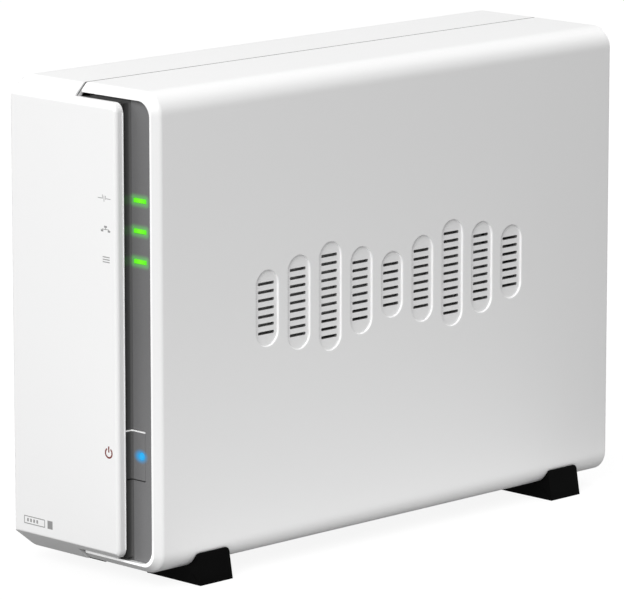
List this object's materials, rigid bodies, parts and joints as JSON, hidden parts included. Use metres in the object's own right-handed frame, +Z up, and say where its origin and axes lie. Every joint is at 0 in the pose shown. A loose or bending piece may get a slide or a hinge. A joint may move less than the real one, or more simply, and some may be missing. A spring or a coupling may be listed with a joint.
{
  "type": "network attached storage",
  "caption": "Upright single-bay network storage box: white two-part casing, dark recessed strip with lights and power button, vent pattern on the side, flared black feet.",
  "frame": {"origin": "on the table, in the middle of the footprint", "axes": "+X right seen from the front, +Y from the front to the back, +Z up; the front face looks towards -Y"},
  "size_m": [0.0702, 0.218, 0.161],
  "materials": {
    "white_plastic": "satin white moulded plastic",
    "dark_plastic": "dark grey moulded plastic",
    "green_light": "clear green light pipe",
    "blue_light": "clear blue light pipe",
    "foot_rubber": "black hard rubber",
    "black_plastic": "black moulded plastic",
    "circuit_board": "green solder mask",
    "chip_plastic": "black moulded chip body",
    "sheet_steel": "zinc-plated sheet steel",
    "screw_steel": "plated steel",
    "bare_aluminium": "cast or extruded aluminium",
    "polished_disk": "polished disk",
    "ferrite": "dark sintered ferrite",
    "cable_sleeve": "black cable sleeve"
  },
  "bodies": {
    "chassis": {"board_screw_1": "screw_steel", "board_screw_2": "screw_steel", "board_screw_3": "screw_steel", "board_screw_4": "screw_steel", "capacitor_1": "chip_plastic", "capacitor_2": "chip_plastic", "case_screw_lower": "screw_steel", "case_screw_upper": "screw_steel", "clock_battery": "sheet_steel", "coil_magnet": "sheet_steel", "drive_base": "bare_aluminium", "drive_bracket": "sheet_steel", "drive_circuit": "circuit_board", "drive_lid": "sheet_steel", "drive_screw_1": "screw_steel", "drive_screw_2": "screw_steel", "drive_screw_3": "screw_steel", "drive_screw_4": "screw_steel", "fan_cable": "cable_sleeve", "fan_frame": "black_plastic", "fan_screw_1": "screw_steel", "fan_screw_2": "screw_steel", "fan_screw_3": "screw_steel", "fan_screw_4": "screw_steel", "flash_chip": "chip_plastic", "foot_front_left": "foot_rubber", "foot_rear_left": "foot_rubber", "front_strip": "dark_plastic", "heatsink": "bare_aluminium", "lan_socket": "sheet_steel", "lan_transformer": "chip_plastic", "led_board": "circuit_board", "led_cable": "cable_sleeve", "light_pipe_disk": "green_light", "light_pipe_network": "green_light", "light_pipe_status": "green_light", "main_board": "circuit_board", "main_shell": "white_plastic", "memory_chip_1": "chip_plastic", "memory_chip_2": "chip_plastic", "power_coil": "ferrite", "power_socket": "chip_plastic", "power_switch": "chip_plastic", "processor": "chip_plastic", "rear_panel": "white_plastic", "reset_switch": "chip_plastic", "sata_connector": "chip_plastic", "sata_riser": "circuit_board", "usb_socket_lower": "sheet_steel", "usb_socket_upper": "sheet_steel"},
    "cover": {"cover_shell": "white_plastic", "foot_front_right": "foot_rubber", "foot_rear_right": "foot_rubber"},
    "power_button": {"power_button": "dark_plastic", "power_lens": "blue_light"},
    "reset_button": {"reset_button": "black_plastic"},
    "fan_rotor": {"fan_rotor": "black_plastic"},
    "disk_spindle": {"spindle_hub": "bare_aluminium", "platter": "polished_disk"},
    "disk_arm": {"actuator_arm": "bare_aluminium"}
  },
  "joints": [
    {"name": "cover_slide", "type": "slide", "parent": "chassis", "child": "cover", "axis": [1, 0, 0], "range_m": [0, 0.08]},
    {"name": "power_button_press", "type": "slide", "parent": "chassis", "child": "power_button", "axis": [0, 1, 0], "range_m": [0, 0.0008], "stiffness_N_per_m": 20},
    {"name": "reset_button_press", "type": "slide", "parent": "chassis", "child": "reset_button", "axis": [0, -1, 0], "range_m": [0, 0.0005], "stiffness_N_per_m": 10},
    {"name": "fan_spin", "type": "hinge", "parent": "chassis", "child": "fan_rotor", "pos_m": [0, 0.0958, 0.1146], "axis": [0, 1, 0], "continuous": true},
    {"name": "disk_spin", "type": "hinge", "parent": "chassis", "child": "disk_spindle", "pos_m": [0.011, -0.0395, 0.1028], "axis": [1, 0, 0], "continuous": true},
    {"name": "disk_arm_swing", "type": "hinge", "parent": "chassis", "child": "disk_arm", "pos_m": [0.013, 0.02, 0.078], "axis": [1, 0, 0], "range_deg": [0, 37]}
  ]
}
